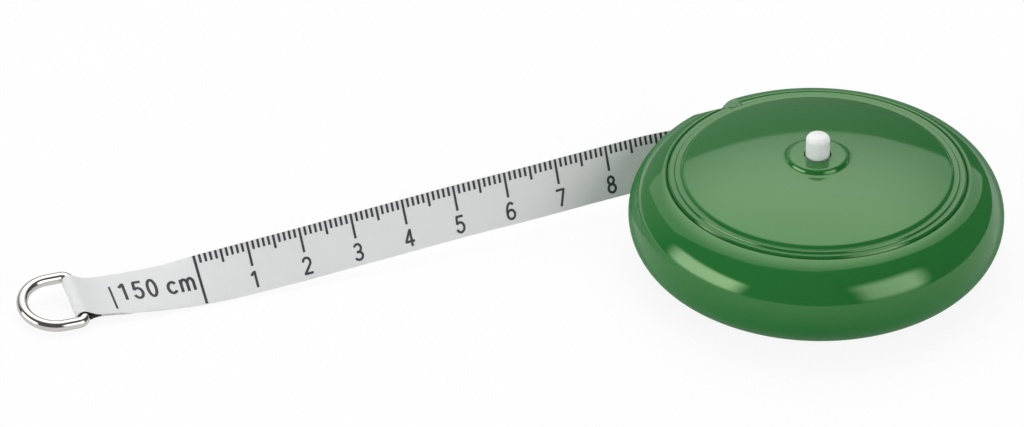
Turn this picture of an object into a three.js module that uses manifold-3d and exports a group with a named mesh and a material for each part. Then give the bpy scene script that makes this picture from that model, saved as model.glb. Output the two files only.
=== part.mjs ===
// Round push-button tape measure: a doughnut case with a domed lid, a spring reel inside,
// and a printed tape that leaves on edge and ends in a hem round a D-ring.
// Millimetres, +Z up, origin at the middle of the base on the reel's axis, tape out along -X.

import * as THREE from 'three';
import { mergeVertices } from 'three/addons/utils/BufferGeometryUtils.js';
import Module from 'manifold-3d';

const wasm = await Module();
wasm.setup();

// Case
const caseRadius = 34.5;
const rimRadius = 9; // radius of the rim's round section
const wall = 1.6;
const fitGap = 0.3; // between pieces that touch or fit
const ledgeWidth = 2.2; // overlap of the lid on its seat
const lipRound = 0.6; // rounded edge of the opening for the lid
const lidCrown = 21.2; // height of the dome's top, without the boss
const lidEdgeDepth = 1.9; // height of the lid's outer edge
const ledgeDepth = 1.4; // thickness of the seat under the lid
const beadPitch = 1; // two fine beads near the lid's edge, with a groove before each
const beadDepth = 0.3;
const beadTop = 0.45; // flat top of a bead
const bossRadius = 6;
const bossHeight = 0.8;
const reliefDepth = 1; // flat on the rim near the mouth, deep at one end, running out at the other
const reliefFrom = THREE.MathUtils.degToRad(102.8);
const reliefTo = THREE.MathUtils.degToRad(116.5);
const reliefTilt = THREE.MathUtils.degToRad(60);

// Button and brake
const buttonRadius = 2.3;
const buttonProud = 4.3; // above the boss
const buttonRound = 0.9;
const buttonFlangeRadius = 5.2;
const buttonFlangeHeight = 1.2;
const pressTravel = 1.4;
const brakeInner = 12;
const brakeOuter = 16;
const brakeThickness = 1.1;

// Tape
const tapeWidth = 9.8;
const tapeThickness = 0.35;
const tapeLength = 1500;
const tapeOut = 88; // printed length that is out of the case
const mouthClearance = 0.7;
const freeLength = 100.55; // along the table from the mouth to the hem
const hemLength = 9;
const hemSlack = 0.1; // between the hem's layers, and round the bar
const barSide = 1.87; // the ring's bar, sideways of the winding's tangent
const hemSkew = 0.14; // sideways per length: the hem is sewn a little askew
const hemLean = THREE.MathUtils.degToRad(80); // from upright, at the ring

// Reel
const drumRadius = 21;
const drumWall = 2.2;
const flangeThickness = 0.6;
const flangeLip = 0.2; // flanges past the winding
const reelClearance = 0.6; // round the flanges
const springRoom = 3; // the drum's web is raised by this for the coil spring
const coverThickness = 0.7;
const arborRadius = 3;
const arborSlot = 1;
const arborSetback = 0.4; // top of the post below the cover's top
const webThickness = 1;
const webMargin = 1.5; // web past the coil spring
const webFlare = 2; // slope from the web down to the flange
const capWall = 1.6; // hub cap
const capFlare = 0.6;
const springThickness = 0.3;
const springTurns = 7;
const springStart = 1.4; // first turn off the arbor
const springTongue = 2.1; // tongue past the arbor's axis
const anchorPinRadius = 0.6;
const washerThickness = 0.4;
const washerMargin = 0.6; // washer past the coil spring
const brakeWire = 0.5; // wire of the coil spring
const brakeCoils = 3;
const socketWall = 1; // collar on the base round the arbor's foot
const socketDepth = 2;

// D-ring
const wireRadius = 1.05;
const ringHalfWidth = 6.1; // from the middle of the bar to the side's wire axis
const ringReach = 10.1; // from the bar's axis to the far wire's axis
const ringCorner = 1.4;
const buttGap = 0.4; // open joint of the wire, inside the hem
const floorClearance = 0.05;

// Heights and radii that follow
const ringCircle = caseRadius - rimRadius;
const midHeight = rimRadius;
const floorTop = wall;
const tapeBottom = midHeight - tapeWidth / 2;
const tapeTop = midHeight + tapeWidth / 2;
const windingInner = drumRadius + fitGap;
const windingOuter = Math.sqrt(drumRadius ** 2 + ((tapeLength - tapeOut) * tapeThickness) / Math.PI);
const flangeRadius = windingOuter + flangeLip;
const lowerFlangeTop = tapeBottom - fitGap;
const reelBottom = lowerFlangeTop - flangeThickness; // clear of the floor by more than the travel
const coverBottom = tapeTop + fitGap;
const coverTop = coverBottom + coverThickness;
const brakeBottom = coverTop + fitGap;
const brakeSeat = brakeBottom + brakeThickness + fitGap;
const arborTop = coverTop - arborSetback;
const hubCeiling = arborTop + pressTravel + fitGap;
const hubTop = hubCeiling + coverThickness;
const hubRadius = arborRadius + fitGap;
const flangeUnder = hubTop + fitGap;
const flangeOver = flangeUnder + buttonFlangeHeight;
const buttonStop = flangeOver + fitGap;
const bossTop = lidCrown + bossHeight;
const buttonHole = buttonRadius + fitGap;
const seatInner = flangeRadius + reelClearance;
const openingRadius = seatInner + ledgeWidth;
const lidRadius = openingRadius - fitGap;
const rimTopAt = (r) => midHeight + Math.sqrt(rimRadius ** 2 - (r - ringCircle) ** 2);
const lidEdgeTop = rimTopAt(openingRadius) - fitGap;
const lidEdgeBottom = lidEdgeTop - lidEdgeDepth;
const seatTop = lidEdgeBottom - fitGap;
const washerTop = reelBottom + springRoom;
const webBottom = washerTop + fitGap;
const socketInner = arborRadius + fitGap;
const socketOuter = socketInner + socketWall;
const socketTop = floorTop + socketDepth;
const brakeCoilRadius = socketOuter + fitGap + brakeWire / 2;

const caseSegments = 56;
const reelSegments = 44;
const smallSegments = 24;
const springSteps = 20; // in each turn
const brakeSteps = 12;
const rimSteps = 16;
const cavitySteps = 11;
const tapeSteps = 48;
const mouthSteps = 16;
const loopSteps = 20;
const bowSteps = 18;
const cornerSteps = 5;
const roundSteps = 4;

const colours = {
  green: { color: 0x3c8241, roughness: 0.18, metalness: 0 },
  white: { color: 0xebf0eb, roughness: 0.3, metalness: 0 },
  cloth: { color: 0xcdd0cf, roughness: 0.75, metalness: 0 },
  nickel: { color: 0xc9c6bf, roughness: 0.12, metalness: 1 },
  steel: { color: 0x8f9499, roughness: 0.35, metalness: 1 },
  ivory: { color: 0xd8d6cc, roughness: 0.5, metalness: 0 },
  rubber: { color: 0x2e2e30, roughness: 0.9, metalness: 0 },
};

const model = new THREE.Group();

function addPiece(name, geometry, colour) {
  const mesh = new THREE.Mesh(geometry, new THREE.MeshStandardMaterial(colours[colour]));
  mesh.name = name;
  model.add(mesh);
}

// Shared corners welded, and triangles that collapse on an axis left out.
function welded(geometry) {
  const bare = new THREE.BufferGeometry();
  bare.setAttribute('position', geometry.getAttribute('position'));
  bare.setIndex(geometry.getIndex());
  const joined = mergeVertices(bare, 1e-4);
  const corners = joined.getIndex().array;
  const kept = [];
  for (let i = 0; i < corners.length; i += 3) {
    const [a, b, c] = corners.slice(i, i + 3);
    if (a !== b && b !== c && c !== a) kept.push(a, b, c);
  }
  joined.setIndex(kept);
  return joined;
}

function toSolid(geometry) {
  const mesh = welded(geometry);
  return new wasm.Manifold(new wasm.Mesh({
    numProp: 3,
    vertProperties: new Float32Array(mesh.getAttribute('position').array),
    triVerts: new Uint32Array(mesh.getIndex().array),
  }));
}

function toGeometry(solid) {
  const mesh = solid.getMesh();
  const geometry = new THREE.BufferGeometry();
  geometry.setAttribute('position', new THREE.BufferAttribute(mesh.vertProperties, 3));
  geometry.setIndex(new THREE.BufferAttribute(mesh.triVerts, 1));
  return geometry;
}

// A profile of [radius, height] pairs, turned about the reel's axis.
function revolve(profile, segments) {
  const points = profile.map(([r, z]) => new THREE.Vector2(r, z));
  return welded(new THREE.LatheGeometry(points, segments).rotateX(Math.PI / 2));
}

// Points of an arc in the profile's plane, both ends included.
function arc(r, z, radius, from, to, steps) {
  return Array.from({ length: steps + 1 }, (_, i) => {
    const angle = from + ((to - from) * i) / steps;
    return [r + radius * Math.cos(angle), z + radius * Math.sin(angle)];
  });
}

function ringProfile(inner, outer, bottom, top) {
  return [[inner, bottom], [outer, bottom], [outer, top], [inner, top], [inner, bottom]];
}

// A section, as [a, b] pairs, carried along frames of a point and two directions, with flat ends.
function sweep(frames, section) {
  const positions = [];
  for (const { point, a, b } of frames) {
    for (const [p, q] of section) {
      positions.push(...point.clone().addScaledVector(a, p).addScaledVector(b, q).toArray());
    }
  }
  const sides = section.length;
  const last = (frames.length - 1) * sides;
  const faces = [];
  for (let i = 0; i < frames.length - 1; i += 1) {
    for (let j = 0; j < sides; j += 1) {
      const k = (j + 1) % sides;
      const [s, t] = [i * sides, (i + 1) * sides];
      faces.push(s + j, s + k, t + k, s + j, t + k, t + j);
    }
  }
  for (let j = 1; j < sides - 1; j += 1) {
    faces.push(0, j + 1, j, last, last + j, last + j + 1);
  }
  const geometry = new THREE.BufferGeometry();
  geometry.setAttribute('position', new THREE.Float32BufferAttribute(positions, 3));
  geometry.setIndex(faces);
  return geometry;
}

const rectangle = (width, height) => [
  [-width / 2, -height / 2], [width / 2, -height / 2], [width / 2, height / 2], [-width / 2, height / 2],
];

const polygon = (radius, sides) => Array.from({ length: sides }, (_, i) => {
  const angle = (2 * Math.PI * i) / sides;
  return [radius * Math.cos(angle), radius * Math.sin(angle)];
});

const up = new THREE.Vector3(0, 0, 1);

// Ring and hem: the bar's height puts the lower of the two just on the table.
const hemInner = wireRadius + hemSlack;
const hemOuter = hemInner + tapeThickness;
const ringBelow = wireRadius + ringHalfWidth * Math.cos(hemLean);
const hemBelow = (tapeWidth / 2) * Math.cos(hemLean) + hemOuter * Math.sin(hemLean);
const ringBarHeight = floorClearance + Math.max(ringBelow, hemBelow);
const ringAcross = new THREE.Vector3(0, Math.sin(hemLean), Math.cos(hemLean)); // along the bar
const ringOut = new THREE.Vector3(-1, 0, 0); // away from the case
const ringNormal = new THREE.Vector3().crossVectors(ringOut, ringAcross);

// Tape route: upright beside the winding, leaning back in the mouth, drooping and twisting to the hem.
// Each station: distance out from the axis, sideways from the tape's line, share of the drop,
// lean in degrees.
const tapeLine = windingOuter + fitGap + tapeThickness / 2;
const mouthOut = Math.sqrt(caseRadius ** 2 - tapeLine ** 2);
const hemEnd = mouthOut + freeLength;
const barOut = hemEnd + hemLength + fitGap;
const tapeStations = [
  [0, 0, 0, 0],
  [mouthOut - 14.8, 0.35, 0, 11],
  [mouthOut - 4.8, 1.1, 0, 30],
  [mouthOut + 11.2, 0.65, 0.097, 31.5],
  [mouthOut + 26.2, 0.2, 0.237, 34],
  [mouthOut + 41.2, -0.3, 0.362, 38],
  [mouthOut + 56.2, -0.75, 0.526, 41.5],
  [mouthOut + 71.2, -1.05, 0.691, 45.5],
  [mouthOut + 84.2, -0.8, 0.869, 53],
  [hemEnd - 6.5, 0, 0.995, 69],
  [hemEnd, barSide - 1.3, 1.005, 75.5],
];
const tapeDrop = midHeight - ringBarHeight;
const mouthFrom = 0.25; // stations between which the mouth's slot is cut
const mouthTo = 2.8;
const stationPoint = ([out, side, drop]) => new THREE.Vector3(
  -out, tapeLine + side, midHeight - drop * tapeDrop);
const tapeCurve = new THREE.CatmullRomCurve3(tapeStations.map(stationPoint), false, 'centripetal');
const leanCurve = new THREE.CatmullRomCurve3(
  tapeStations.map((station) => new THREE.Vector3(-station[0], station[3], 0)), false, 'centripetal');

// Frames along the tape between two stations, counted from 0: a across the tape, b through its thickness.
function tapeFrames(from, to, steps) {
  const lastStation = tapeStations.length - 1;
  return Array.from({ length: steps + 1 }, (_, i) => {
    const t = (from + ((to - from) * i) / steps) / lastStation;
    const along = tapeCurve.getTangent(t);
    const rise = along.clone().setY(0).normalize(); // the weft stays square to the droop, not to the sway
    const lean = THREE.MathUtils.degToRad(leanCurve.getPoint(t).y);
    const across = new THREE.Vector3(0, Math.sin(lean), Math.cos(lean));
    across.addScaledVector(rise, -across.dot(rise)).normalize();
    return { point: tapeCurve.getPoint(t), a: across, b: new THREE.Vector3().crossVectors(along, across) };
  });
}

// Case body: base, round rim, ledge for the lid, and a socket for the arbor.
function caseBody() {
  const lipRadius = openingRadius + lipRound; // where the lip's round has its middle
  const lipAngle = Math.acos((lipRadius - ringCircle) / (rimRadius - lipRound));
  const lipHeight = midHeight + (rimRadius - lipRound) * Math.sin(lipAngle);
  const cavity = rimRadius - wall;
  const ledgeUnder = seatTop - ledgeDepth;
  const cavityAngle = Math.asin((ledgeUnder - midHeight) / cavity);
  const profile = [
    [0, 0],
    ...arc(ringCircle, midHeight, rimRadius, -Math.PI / 2, lipAngle, rimSteps),
    ...arc(lipRadius, lipHeight, lipRound, lipAngle, Math.PI, roundSteps).slice(1),
    [openingRadius, seatTop],
    [seatInner, seatTop],
    [seatInner, ledgeUnder],
    ...arc(ringCircle, midHeight, cavity, cavityAngle, -Math.PI / 2, cavitySteps),
    [socketOuter, floorTop],
    [socketOuter, socketTop],
    [socketInner, socketTop],
    [socketInner, floorTop],
    [0, floorTop],
  ];
  const shell = toSolid(revolve(profile, caseSegments));
  const slot = rectangle(tapeWidth + 2 * mouthClearance, tapeThickness + 2 * mouthClearance);
  const mouth = toSolid(sweep(tapeFrames(mouthFrom, mouthTo, mouthSteps), slot));
  return toGeometry(shell.subtract(mouth).subtract(toSolid(reliefCutter())));
}

// A block whose lower face is the flat near the mouth: it starts below the rim's surface with an end
// wall, comes out through the surface at its other end, and takes the lid's edge along.
function reliefCutter() {
  const onRim = (angle, radius) => new THREE.Vector3(
    Math.cos(angle) * (ringCircle + radius * Math.cos(reliefTilt)),
    Math.sin(angle) * (ringCircle + radius * Math.cos(reliefTilt)),
    midHeight + radius * Math.sin(reliefTilt));
  const deep = onRim(reliefFrom, rimRadius - reliefDepth);
  const shallow = onRim(reliefTo, rimRadius);
  const middle = (reliefFrom + reliefTo) / 2;
  const length = 1.5 * deep.distanceTo(shallow);
  const height = 4 * reliefDepth;
  const along = shallow.clone().sub(deep).normalize();
  const normal = new THREE.Vector3(
    Math.cos(middle) * Math.cos(reliefTilt), Math.sin(middle) * Math.cos(reliefTilt), Math.sin(reliefTilt));
  normal.addScaledVector(along, -normal.dot(along)).normalize();
  const side = new THREE.Vector3().crossVectors(normal, along);
  const block = new THREE.BoxGeometry(length, 1.4 * rimRadius, height);
  block.translate(length / 2, 0, height / 2);
  return block.applyMatrix4(new THREE.Matrix4().makeBasis(along, side, normal).setPosition(deep));
}

// Lid: a dome with two fine beads round its edge, and seats for the brake and the button below.
function caseLid() {
  const grooves = [lidRadius - 2 * beadPitch, lidRadius - beadPitch];
  const domeEdge = grooves[0] - beadTop / 2;
  const domeEdgeTop = rimTopAt(domeEdge);
  const domeFall = (lidCrown - domeEdgeTop) / domeEdge ** 2;
  const dome = (r) => lidCrown - domeFall * r * r;
  const under = (r) => dome(r) - wall;
  const stopRadius = buttonFlangeRadius + fitGap;
  const bead = (groove) => {
    const crest = groove + beadPitch / 2;
    return [
      [groove, rimTopAt(groove) - beadDepth],
      [crest - beadTop / 2, rimTopAt(crest)],
      [crest + beadTop / 2, rimTopAt(crest)],
    ];
  };
  const radii = [0.25, 0.5, 0.75, 1].map((share) => bossRadius + share * (domeEdge - bossRadius));
  const profile = [
    [buttonHole, buttonStop],
    [buttonHole, bossTop],
    [bossRadius - bossHeight / 2, bossTop],
    [bossRadius - bossHeight / 6, bossTop - bossHeight / 6],
    [bossRadius, bossTop - bossHeight / 2],
    [bossRadius, dome(bossRadius)],
    ...radii.map((r) => [r, dome(r)]),
    ...grooves.flatMap(bead),
    [lidRadius, lidEdgeTop - beadDepth],
    [lidRadius, lidEdgeBottom],
    [seatInner, lidEdgeBottom],
    [domeEdge - wall, under(domeEdge - wall)],
    [brakeOuter, under(brakeOuter)],
    [brakeOuter, brakeSeat],
    [brakeInner, brakeSeat],
    [brakeInner, under(brakeInner)],
    [stopRadius, under(stopRadius)],
    [stopRadius, buttonStop],
    [buttonHole, buttonStop],
  ];
  const whole = toSolid(revolve(profile.reverse(), caseSegments));
  return toGeometry(whole.subtract(toSolid(reliefCutter())));
}

// Button: flange under the lid, pin through it, softly rounded top.
function pushButton() {
  const top = bossTop + buttonProud;
  const profile = [
    [0, flangeUnder],
    [buttonFlangeRadius, flangeUnder],
    [buttonFlangeRadius, flangeOver],
    [buttonRadius, flangeOver],
    ...arc(buttonRadius - buttonRound, top - buttonRound, buttonRound, 0, Math.PI / 2, roundSteps),
    [0, top],
  ];
  return revolve(profile, smallSegments);
}

// Drum: lower flange, wall for the winding, and a raised web that runs on the arbor.
function reelDrum() {
  const inner = drumRadius - drumWall;
  const webEdge = brakeCoilRadius + brakeWire + webMargin;
  const webTop = webBottom + webThickness;
  const profile = [
    [hubRadius, webBottom],
    [webEdge, webBottom],
    [webEdge + webFlare, reelBottom],
    [flangeRadius, reelBottom],
    [flangeRadius, lowerFlangeTop],
    [drumRadius, lowerFlangeTop],
    [drumRadius, tapeTop],
    [inner, tapeTop],
    [inner, webTop],
    [hubRadius, webTop],
    [hubRadius, webBottom],
  ];
  const drum = toSolid(revolve(profile, reelSegments));
  const groove = new THREE.CylinderGeometry(
    anchorPinRadius + fitGap, anchorPinRadius + fitGap, tapeWidth + 2, smallSegments / 2);
  groove.rotateX(Math.PI / 2).translate(drumRadius - anchorPinRadius, 0, lowerFlangeTop + tapeWidth / 2 + 1);
  return toGeometry(drum.subtract(toSolid(groove)));
}

function anchorPin() {
  const length = tapeWidth - fitGap;
  const pin = new THREE.CylinderGeometry(anchorPinRadius, anchorPinRadius, length, smallSegments / 2);
  pin.rotateX(Math.PI / 2).translate(drumRadius - anchorPinRadius, 0, midHeight + fitGap / 2);
  return welded(pin);
}

// Cover: upper flange of the reel, with a closed hub cap that the button presses.
function drumCover() {
  const profile = [
    [0, hubCeiling],
    [hubRadius, hubCeiling],
    [hubRadius, coverBottom],
    [flangeRadius, coverBottom],
    [flangeRadius, coverTop],
    [hubRadius + capWall + capFlare, coverTop],
    [hubRadius + capWall, hubTop],
    [0, hubTop],
  ];
  return revolve(profile, reelSegments);
}

// Winding: a spiral outline one tape thick per turn, so the outer end shows as a small step.
function tapeWinding() {
  const steps = 2 * reelSegments;
  const outline = new THREE.Shape();
  for (let i = 0; i <= steps; i += 1) {
    const share = i / steps;
    const radius = windingOuter - tapeThickness * (1 - share);
    const angle = Math.PI / 2 + 2 * Math.PI * share;
    const [x, y] = [radius * Math.cos(angle), radius * Math.sin(angle)];
    if (i === 0) outline.moveTo(x, y);
    else outline.lineTo(x, y);
  }
  const bore = new THREE.Path().absarc(0, 0, windingInner, 0, 2 * Math.PI, true);
  outline.holes.push(bore);
  const body = new THREE.ExtrudeGeometry(
    outline, { depth: tapeWidth, bevelEnabled: false, curveSegments: reelSegments });
  return welded(body.translate(0, 0, tapeBottom));
}

// Arbor: a post in the base's socket, slotted for the spring's inner end.
function arbor() {
  const profile = [
    [0, floorTop + fitGap],
    [arborRadius, floorTop + fitGap],
    [arborRadius, arborTop - fitGap],
    [arborRadius - fitGap, arborTop],
    [0, arborTop],
  ];
  const post = toSolid(revolve(profile, smallSegments));
  const slotBottom = webBottom + webThickness;
  const slotTop = arborTop + wall;
  const slot = new THREE.BoxGeometry(4 * arborRadius, arborSlot, slotTop - slotBottom);
  slot.translate(0, 0, (slotTop + slotBottom) / 2);
  return toGeometry(post.subtract(toSolid(slot)));
}

// Spiral spring: a straight tongue in the arbor's slot, then turns that open out to the drum's wall.
function mainSpringFrames() {
  const inner = arborRadius + springStart;
  const outer = drumRadius - drumWall - fitGap - springThickness;
  const steps = springTurns * springSteps;
  const height = (webBottom + webThickness + tapeTop) / 2;
  const spiral = (share) => {
    const radius = inner + (outer - inner) * share;
    const angle = 2 * Math.PI * springTurns * share;
    return new THREE.Vector3(radius * Math.cos(angle), radius * Math.sin(angle), height);
  };
  const points = [-springTongue, arborRadius].map((x) => new THREE.Vector3(x, 0, height));
  for (let i = 1; i <= steps; i += 1) points.push(spiral(i / steps));
  return points.map((point, i) => {
    const before = points[Math.max(i - 1, 0)];
    const after = points[Math.min(i + 1, points.length - 1)];
    const along = after.clone().sub(before).normalize();
    return { point, a: up, b: new THREE.Vector3().crossVectors(along, up) };
  });
}

function mainSpring() {
  const height = tapeTop - (webBottom + webThickness) - 2 * fitGap;
  return sweep(mainSpringFrames(), rectangle(height, springThickness));
}

// Coil spring between the base and the washer.
function brakeSpringFrames() {
  const low = floorTop + fitGap + brakeWire / 2;
  const high = washerTop - washerThickness - fitGap - brakeWire / 2;
  const steps = brakeSteps * brakeCoils;
  return Array.from({ length: steps + 1 }, (_, i) => {
    const share = i / steps;
    const angle = 2 * Math.PI * brakeCoils * share;
    const radial = new THREE.Vector3(Math.cos(angle), Math.sin(angle), 0);
    const point = radial.clone().multiplyScalar(brakeCoilRadius).setZ(low + (high - low) * share);
    return { point, a: radial, b: up };
  });
}

const brakeSpring = () => sweep(brakeSpringFrames(), polygon(brakeWire / 2, 6).reverse());

// Least gap between the turns of a coil, measured between points more than half a turn apart.
function leastGap(frames, stepsPerTurn, thickness) {
  let least = Infinity;
  for (let i = 0; i < frames.length; i += 1) {
    for (let j = i + Math.ceil(stepsPerTurn / 2) + 1; j < frames.length; j += 1) {
      least = Math.min(least, frames[i].point.distanceTo(frames[j].point) - thickness);
    }
  }
  return least.toFixed(2);
}

// Hem: the cloth goes round the bar and back on itself, so the section is a loop with a double tail.
function tapeHem() {
  const half = tapeThickness + hemSlack;
  const meet = Math.asin(half / hemOuter);
  const outline = new THREE.Shape();
  outline.absarc(0, 0, hemOuter, meet, 2 * Math.PI - meet, false);
  outline.lineTo(hemLength, -half);
  outline.lineTo(hemLength, half);
  outline.holes.push(new THREE.Path().absarc(0, 0, hemInner, 0, 2 * Math.PI, true));
  const fold = new THREE.ExtrudeGeometry(
    outline, { depth: tapeWidth, bevelEnabled: false, curveSegments: loopSteps });
  fold.translate(0, 0, -tapeWidth / 2);
  const back = ringOut.clone().negate().addScaledVector(ringAcross, -hemSkew);
  const through = new THREE.Vector3().crossVectors(ringAcross, back);
  const place = new THREE.Matrix4().makeBasis(back, through, ringAcross);
  return welded(fold.applyMatrix4(place.setPosition(barCentre())));
}

function barCentre() {
  return new THREE.Vector3(-barOut, tapeLine + barSide, ringBarHeight);
}

// D-ring wire: bar, two rounded corners, straight sides and a half circle, open at a butt joint in
// the bar.
function ringPath() {
  const straight = ringReach - ringHalfWidth;
  const side = ringHalfWidth - ringCorner;
  const flat = [
    [0, buttGap / 2],
    [0, side / 2],
    ...arc(ringCorner, side, ringCorner, Math.PI, Math.PI / 2, cornerSteps),
    ...arc(straight, 0, ringHalfWidth, Math.PI / 2, -Math.PI / 2, bowSteps),
    ...arc(ringCorner, -side, ringCorner, -Math.PI / 2, -Math.PI, cornerSteps),
    [0, -side / 2],
    [0, -buttGap / 2],
  ];
  const centre = barCentre();
  return flat.map(([u, v]) => centre.clone().addScaledVector(ringOut, u).addScaledVector(ringAcross, v));
}

function pullRing() {
  const points = ringPath();
  const frames = points.map((point, i) => {
    const before = points[Math.max(i - 1, 0)];
    const after = points[Math.min(i + 1, points.length - 1)];
    const along = after.clone().sub(before).normalize();
    return { point, a: ringNormal, b: new THREE.Vector3().crossVectors(along, ringNormal) };
  });
  return sweep(frames, polygon(wireRadius, 8));
}

addPiece('case_body', caseBody(), 'green');
addPiece('case_lid', caseLid(), 'green');
addPiece('push_button', pushButton(), 'white');
const brakeProfile = ringProfile(brakeInner, brakeOuter, brakeBottom, brakeBottom + brakeThickness);
addPiece('brake_ring', revolve(brakeProfile, reelSegments), 'rubber');
addPiece('drum_cover', drumCover(), 'ivory');
addPiece('reel_drum', reelDrum(), 'ivory');
addPiece('tape_anchor_pin', anchorPin(), 'steel');
addPiece('tape_winding', tapeWinding(), 'cloth');
addPiece('main_spring', mainSpring(), 'steel');
addPiece('arbor', arbor(), 'steel');
addPiece('brake_spring', brakeSpring(), 'steel');
const washerRadius = brakeCoilRadius + brakeWire + washerMargin;
const washerProfile = ringProfile(hubRadius, washerRadius, washerTop - washerThickness, washerTop);
addPiece('thrust_washer', revolve(washerProfile, smallSegments), 'steel');
const wholeTape = tapeFrames(0, tapeStations.length - 1, tapeSteps);
addPiece('tape_strip', sweep(wholeTape, rectangle(tapeWidth, tapeThickness)), 'cloth');
addPiece('tape_hem', tapeHem(), 'cloth');
addPiece('pull_ring', pullRing(), 'nickel');

console.log('main_spring least gap, mm:', leastGap(mainSpringFrames(), springSteps, springThickness));
console.log('brake_spring least gap, mm:', leastGap(brakeSpringFrames(), brakeSteps, brakeWire));

export default model;
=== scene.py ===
import math

import bmesh
import bpy
import numpy as np
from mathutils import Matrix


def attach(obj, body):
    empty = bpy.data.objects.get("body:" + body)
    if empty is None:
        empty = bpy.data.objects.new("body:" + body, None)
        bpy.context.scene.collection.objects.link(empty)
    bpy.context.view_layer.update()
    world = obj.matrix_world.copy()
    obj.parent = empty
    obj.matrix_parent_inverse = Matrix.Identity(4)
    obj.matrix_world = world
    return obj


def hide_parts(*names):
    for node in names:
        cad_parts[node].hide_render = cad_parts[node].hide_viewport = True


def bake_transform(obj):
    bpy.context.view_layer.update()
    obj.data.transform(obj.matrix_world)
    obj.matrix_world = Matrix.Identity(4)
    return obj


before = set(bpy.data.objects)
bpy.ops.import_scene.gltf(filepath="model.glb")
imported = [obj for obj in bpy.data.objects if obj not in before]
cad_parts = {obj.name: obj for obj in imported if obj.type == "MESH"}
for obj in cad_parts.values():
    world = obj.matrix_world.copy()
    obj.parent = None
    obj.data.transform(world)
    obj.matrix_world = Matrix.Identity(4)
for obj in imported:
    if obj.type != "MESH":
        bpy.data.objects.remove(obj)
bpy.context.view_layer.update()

mm = 0.001  # every length below is in millimetres until a mesh is made


# small helpers
def smoothStep(value):
    # 0 below 0, 1 above 1, and 3t^2 - 2t^3 between
    t = np.clip(value, 0, 1)
    return t * t * (3 - 2 * t)


def joined(*parts):
    # the parts side by side on a last axis: numbers make points, and corners make faces
    return np.stack(parts, -1)


def arcPoints(centreR, centreZ, radius, fromDeg, toDeg, count):
    # points of a circle's arc, mostly in a turned piece's (radius, height) plane
    angle = np.radians(np.linspace(fromDeg, toDeg, count))
    return joined(centreR + radius * np.cos(angle), centreZ + radius * np.sin(angle))


def gridFaces(rows, columns, wrapRows=False, wrapColumns=False):
    # each cell of the grid is a quad of the four points round it
    number = np.arange(rows * columns).reshape(rows, columns)
    if wrapRows:
        number = np.vstack([number, number[:1]])
    if wrapColumns:
        number = np.hstack([number, number[:, :1]])
    corners = joined(number[:-1, :-1], number[1:, :-1], number[1:, 1:], number[:-1, 1:])
    return corners.reshape(-1, 4)


def aroundAxis(radius, turn, height):
    # points at a radius and a turn about the Z axis, at a height
    return joined(radius * np.cos(turn), radius * np.sin(turn), height + 0 * turn)


def stripLay(along, columns):
    # UV of a strip: the given shares along it, and 0 to 1 round its section
    return joined(*np.meshgrid(along, np.linspace(0, 1, columns), indexing="ij"))


def unit(vectors):
    # each vector divided by its own length
    return vectors / np.linalg.norm(vectors, axis=-1, keepdims=True)


def meshPiece(name, points, faces, uv=None, outward=True, sharpDeg=38, weld=0.0002):
    # one object at the origin from points in millimetres, its poles welded and its faces turned outwards
    mesh = bpy.data.meshes.new(name)
    mesh.from_pydata(points.reshape(-1, 3) * mm, [], faces)
    if uv is not None:
        layer = mesh.uv_layers.new(name="lay")
        corners = uv.reshape(-1, 2)[np.asarray(faces).ravel()]
        layer.data.foreach_set("uv", corners.astype(np.float32).ravel())
    if outward:
        work = bmesh.new()
        work.from_mesh(mesh)
        bmesh.ops.remove_doubles(work, verts=work.verts, dist=weld * mm)
        bmesh.ops.recalc_face_normals(work, faces=work.faces)
        work.to_mesh(mesh)
        work.free()
    mesh.shade_smooth()
    mesh.set_sharp_from_angle(angle=math.radians(sharpDeg))
    piece = bpy.data.objects.new(name, mesh)
    bpy.context.scene.collection.objects.link(piece)
    return piece


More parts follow.
